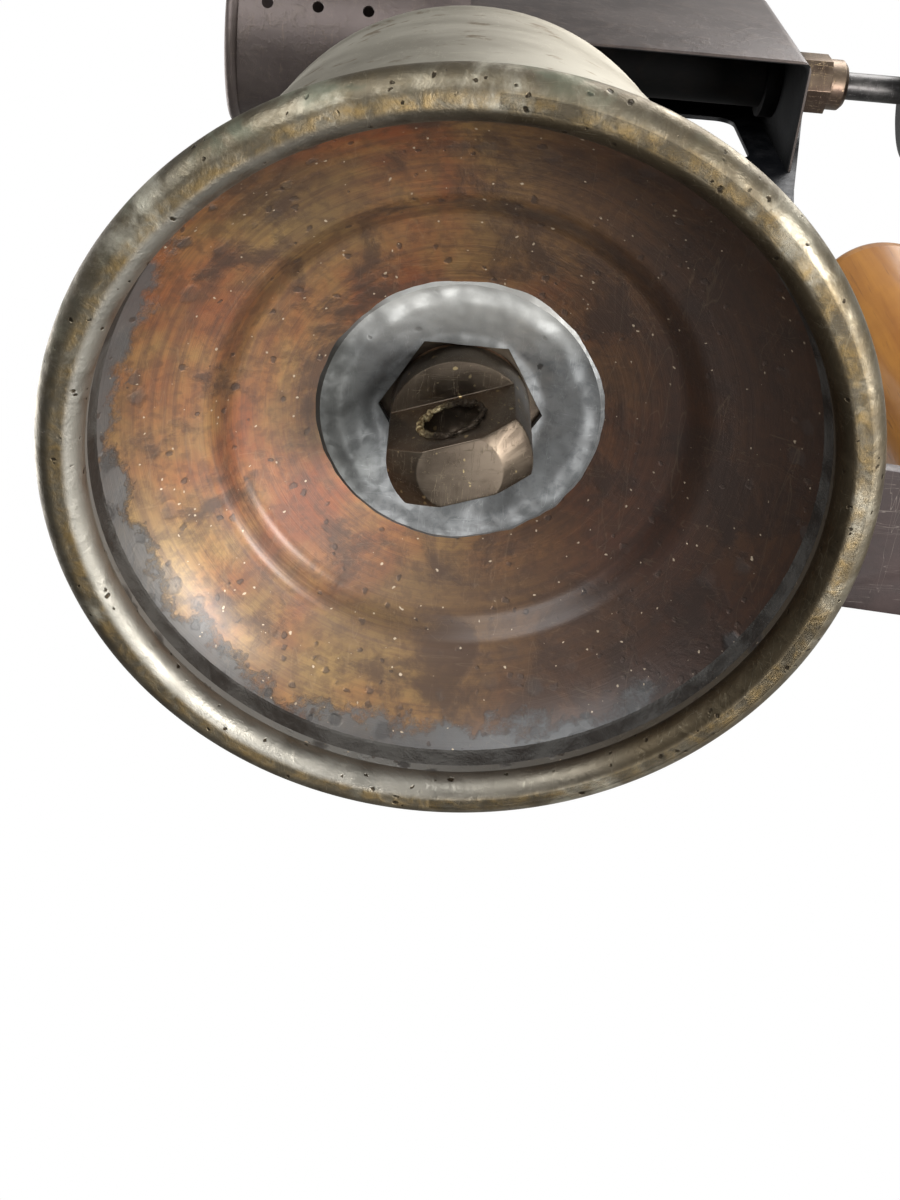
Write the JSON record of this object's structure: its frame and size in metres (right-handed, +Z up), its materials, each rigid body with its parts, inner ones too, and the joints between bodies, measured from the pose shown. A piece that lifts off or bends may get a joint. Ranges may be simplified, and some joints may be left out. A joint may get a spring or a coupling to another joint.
{
  "type": "alcohol burner",
  "caption": "Brass alcohol blowlamp: tapered tank filled from below, horizontal perforated flame tube, hood, needle valve with knob, and a wooden handle on a strap.",
  "frame": {"origin": "centre of the round foot, on the surface it stands on", "axes": "+Z up, -X the way the flame leaves the tube, +X towards the knob and the handle"},
  "size_m": [0.2006, 0.12, 0.272],
  "materials": {
    "foot_brass": "worn olive-golden brass with silvery rubbed spots",
    "tank_brass": "dull grey-brown tarnished brass",
    "dish_brass": "copper-brown tarnish over spun brass, with golden rubbed areas",
    "solder": "dull blue-grey soft solder",
    "plug_brass": "grey-brown brass with golden worn corners",
    "fittings_brass": "tarnished turned brass",
    "tube_brass": "heat-darkened purple-brown brass",
    "hood_sheet": "brown heat-stained sheet, sooty inside",
    "black_iron": "soot-black sheet iron",
    "steel": "dark dull steel",
    "strap_iron": "dark brown-grey rust-browned strap",
    "knob_black": "black moulded knob",
    "grip_wood": "varnished honey-orange hardwood",
    "leather": "oil-soaked brown leather",
    "cotton": "twisted cotton"
  },
  "bodies": {
    "root": {"base_rim": "foot_brass", "rim_wire": "steel", "tank_shell": "tank_brass", "bottom_dish": "dish_brass", "rim_solder": "solder", "filler_boss": "plug_brass", "filler_solder": "solder", "fuel_wick": "cotton", "neck_bush": "fittings_brass", "neck_washer": "leather", "neck_nut": "fittings_brass", "preheat_cup": "fittings_brass", "riser_tube": "tube_brass", "valve_body": "fittings_brass", "jet_nipple": "fittings_brass", "gland_packing": "cotton", "gland_nut": "fittings_brass", "flame_tube": "tube_brass", "mouth_ring": "tube_brass", "tube_back_plate": "tube_brass", "hood": "hood_sheet", "cheek_plate": "black_iron", "cheek_screws": "steel", "handle_strap": "strap_iron", "strap_rivets": "fittings_brass", "grip_ferrule": "fittings_brass", "handle_grip": "grip_wood", "handle_rod": "steel", "handle_washer": "fittings_brass", "handle_foot_nut": "fittings_brass"},
    "washer": {"filler_washer": "leather"},
    "plug": {"filler_plug": "plug_brass"},
    "needle": {"needle_tip": "steel"},
    "spindle": {"needle_spindle": "steel", "control_knob": "knob_black", "knob_nut": "fittings_brass"}
  },
  "joints": [
    {"name": "plug_lift", "type": "slide", "parent": "root", "child": "washer", "axis": [0, 0, -1], "range_m": [0, 0.0075]},
    {"name": "plug_turn", "type": "hinge", "parent": "washer", "child": "plug", "pos_m": [0, 0, 0.017], "axis": [0, 0, -1], "range_deg": [0, 1800]},
    {"name": "needle_travel", "type": "slide", "parent": "root", "child": "needle", "axis": [1, 0, 0], "range_m": [0, 0.0015]},
    {"name": "knob_turn", "type": "hinge", "parent": "needle", "child": "spindle", "pos_m": [0.123, 0, 0.24], "axis": [1, 0, 0], "range_deg": [0, 540]}
  ],
  "couplings": [
    {"joint": "plug_turn", "follows": "plug_lift", "rad_per_m": 4188.8},
    {"joint": "knob_turn", "follows": "needle_travel", "rad_per_m": 6283.2}
  ]
}
